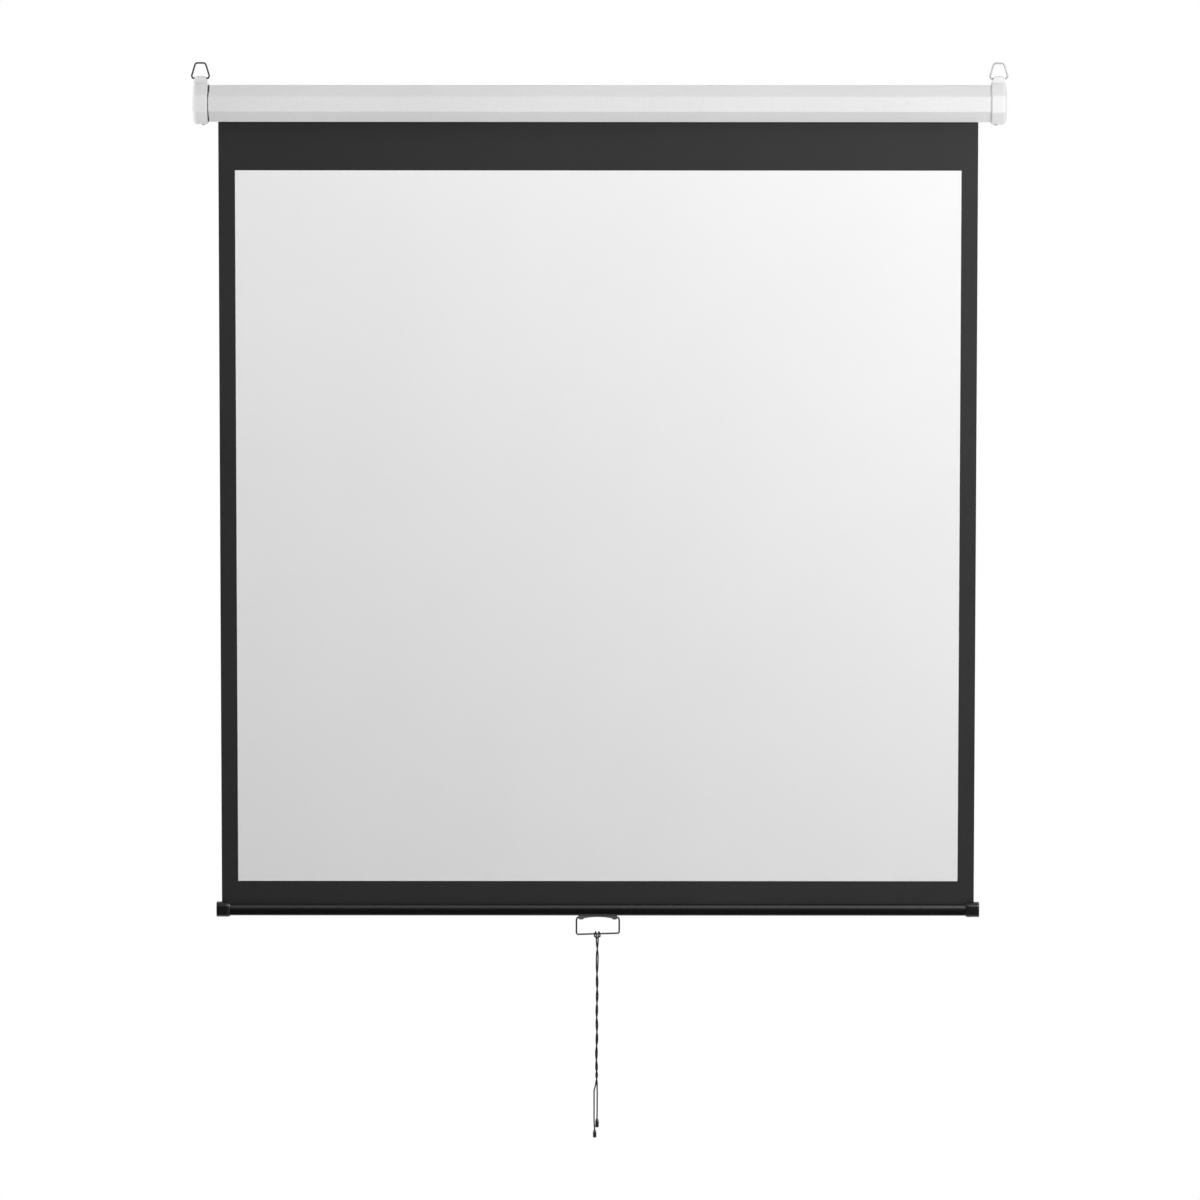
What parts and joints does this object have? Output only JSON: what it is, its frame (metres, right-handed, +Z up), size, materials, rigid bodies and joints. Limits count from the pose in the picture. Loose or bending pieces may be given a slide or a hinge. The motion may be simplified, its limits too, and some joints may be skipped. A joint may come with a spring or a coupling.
{
  "type": "projection screen",
  "caption": "Pull-down projection screen: white octagonal case with a spring roller, black-bordered matte cloth, black bottom bar, wire handle and hitched pull cord.",
  "frame": {"origin": "the point midway between the tops of the two hanging loops, on the centre line of their wire, where the screen hangs", "axes": "+Z up, along the drop and the cord; +X to the right as seen from the front, along the case; the picture faces -Y and the wall is behind, at +Y"},
  "size_m": [1.4278, 0.0716, 1.9018],
  "materials": {
    "white_steel": "satin white powder coat",
    "white_plastic": "fine-grained white moulding",
    "zinc_steel": "zinc plated",
    "bright_wire": "bright drawn wire",
    "grey_nylon": "natural nylon",
    "screen_cloth": "matte white coated cloth with a printed black border",
    "black_steel": "satin black powder coat",
    "black_plastic": "fine-grained black moulding",
    "pull_cord": "braided black cord"
  },
  "bodies": {
    "case": {"case_tube": "white_steel", "end_cap_left": "white_plastic", "end_cap_right": "white_plastic", "cap_screw_left": "zinc_steel", "cap_screw_right": "zinc_steel", "idler_bush": "grey_nylon", "spear": "zinc_steel", "ratchet_hub": "zinc_steel", "spring_rod": "bright_wire", "roller_spring": "bright_wire", "screen_cloth": "screen_cloth"},
    "roller": {"roller_tube": "zinc_steel", "spring_end_plug": "zinc_steel", "idler_plug": "grey_nylon", "idler_pin": "bright_wire", "spring_plug": "grey_nylon", "cloth_on_roller": "screen_cloth"},
    "front_pawl": {"pawl_front": "zinc_steel"},
    "back_pawl": {"pawl_back": "zinc_steel"},
    "bar": {"bottom_bar": "black_steel", "bar_cap_left": "black_plastic", "bar_cap_right": "black_plastic", "cloth_hem": "screen_cloth", "hem_rod": "zinc_steel", "handle_bracket": "black_plastic", "bracket_rivet_left": "zinc_steel", "bracket_rivet_right": "zinc_steel"},
    "handle": {"handle_bail": "bright_wire"},
    "pull_cord": {"cord_hitch": "pull_cord", "cord_strand_left": "pull_cord", "cord_strand_right": "pull_cord", "cord_tip_left": "black_plastic", "cord_tip_right": "black_plastic"},
    "left_loop": {"hanging_loop_left": "bright_wire"},
    "right_loop": {"hanging_loop_right": "bright_wire"}
  },
  "joints": [
    {"name": "bar_slide", "type": "slide", "parent": "case", "child": "bar", "axis": [0, 0, 1], "range_m": [0, 1.374], "deforming": ["screen_cloth"]},
    {"name": "roller_turn", "type": "hinge", "parent": "case", "child": "roller", "pos_m": [0, 0.01002, -0.07045], "axis": [-1, 0, 0], "range_deg": [0, 4835]},
    {"name": "pawl_front_turn", "type": "hinge", "parent": "roller", "child": "front_pawl", "pos_m": [-0.6769, 0.00137, -0.0673], "axis": [-1, 0, 0], "range_deg": [-16, 35]},
    {"name": "pawl_back_turn", "type": "hinge", "parent": "roller", "child": "back_pawl", "pos_m": [-0.6769, 0.01867, -0.0736], "axis": [-1, 0, 0], "range_deg": [-51, 0]},
    {"name": "handle_swing", "type": "hinge", "parent": "bar", "child": "handle", "pos_m": [-0.0025, -0.004, -1.5063], "axis": [1, 0, 0], "range_deg": [-90, 90]},
    {"name": "cord_swing", "type": "hinge", "parent": "handle", "child": "pull_cord", "pos_m": [-0.0035, -0.004, -1.5353], "axis": [1, 0, 0], "range_deg": [-90, 90]},
    {"name": "left_loop_swing", "type": "hinge", "parent": "case", "child": "left_loop", "pos_m": [-0.6971, 0, -0.0266], "axis": [1, 0, 0], "range_deg": [-90, 90]},
    {"name": "right_loop_swing", "type": "hinge", "parent": "case", "child": "right_loop", "pos_m": [0.6971, 0, -0.0266], "axis": [1, 0, 0], "range_deg": [-90, 90]}
  ],
  "couplings": [
    {"joint": "roller_turn", "follows": "bar_slide", "rad_per_m": 61.35},
    {"joint": "cord_swing", "follows": "handle_swing", "ratio": -1}
  ]
}
